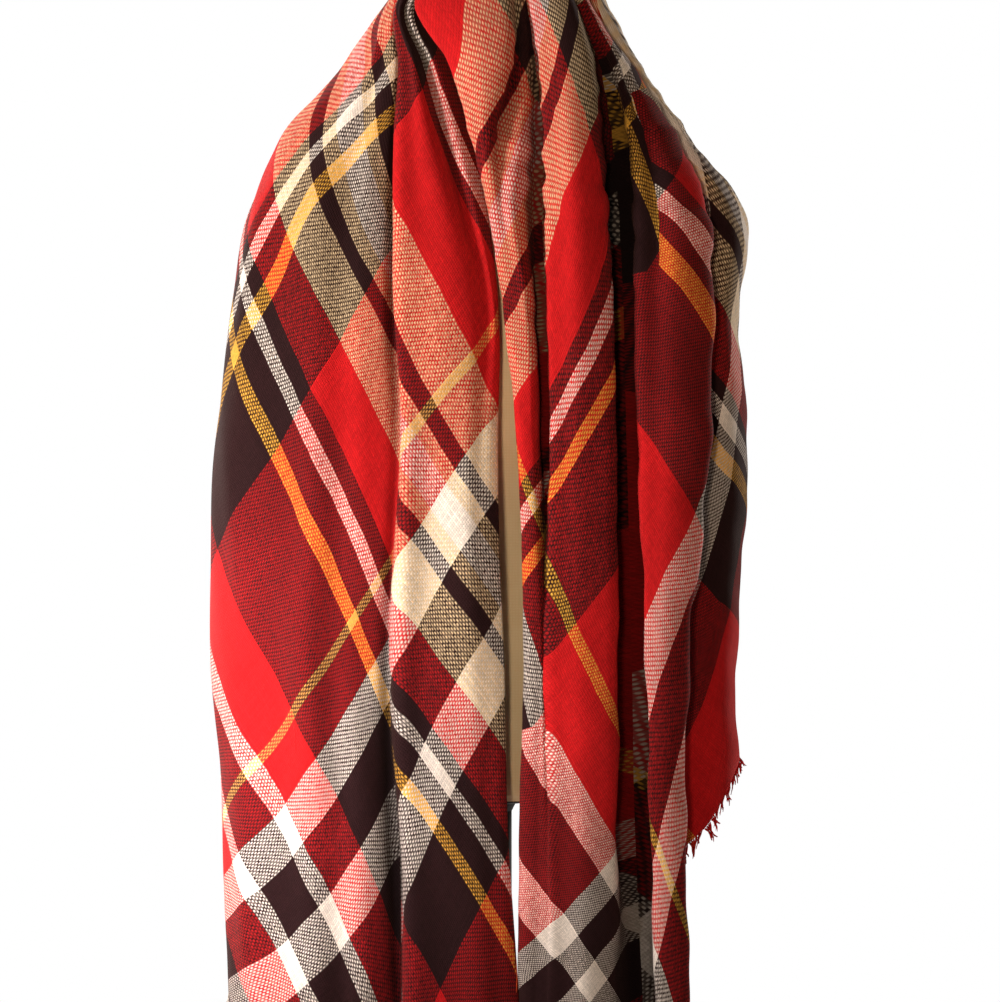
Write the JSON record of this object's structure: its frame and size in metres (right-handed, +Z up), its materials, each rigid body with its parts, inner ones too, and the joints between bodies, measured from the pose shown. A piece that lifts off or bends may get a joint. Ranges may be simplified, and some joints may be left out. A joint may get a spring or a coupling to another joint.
{
  "type": "tartan blanket scarf on a dress form",
  "caption": "Large tartan blanket scarf draped on the bias over a limbless dress form on a pole stand, tails hanging down the front, for dressing a figure or a shop display.",
  "frame": {"origin": "On the floor, under the middle of the bounding box of the scarf and stand.", "axes": "+Z is up, the front of the garment faces -Y, +X is to the right of someone who faces the front."},
  "size_m": [0.4342, 0.33, 1.53],
  "materials": {
    "tartan_cloth": "brushed acrylic twill, red, black, white and mustard tartan",
    "fringe_yarn": "short cut yarn ends, unbound",
    "linen_cover": "plain cream linen over a foam body",
    "walnut_cap": "turned walnut, oiled",
    "black_steel": "satin black powder coat"
  },
  "bodies": {
    "root": {"left_tail": "tartan_cloth", "left_tail_fringe": "fringe_yarn", "back_cape": "tartan_cloth", "back_cape_fringe": "fringe_yarn", "right_tail": "tartan_cloth", "right_tail_fringe": "fringe_yarn", "form_torso": "linen_cover", "neck_cap": "walnut_cap", "pole": "black_steel", "base": "black_steel"}
  },
  "joints": []
}
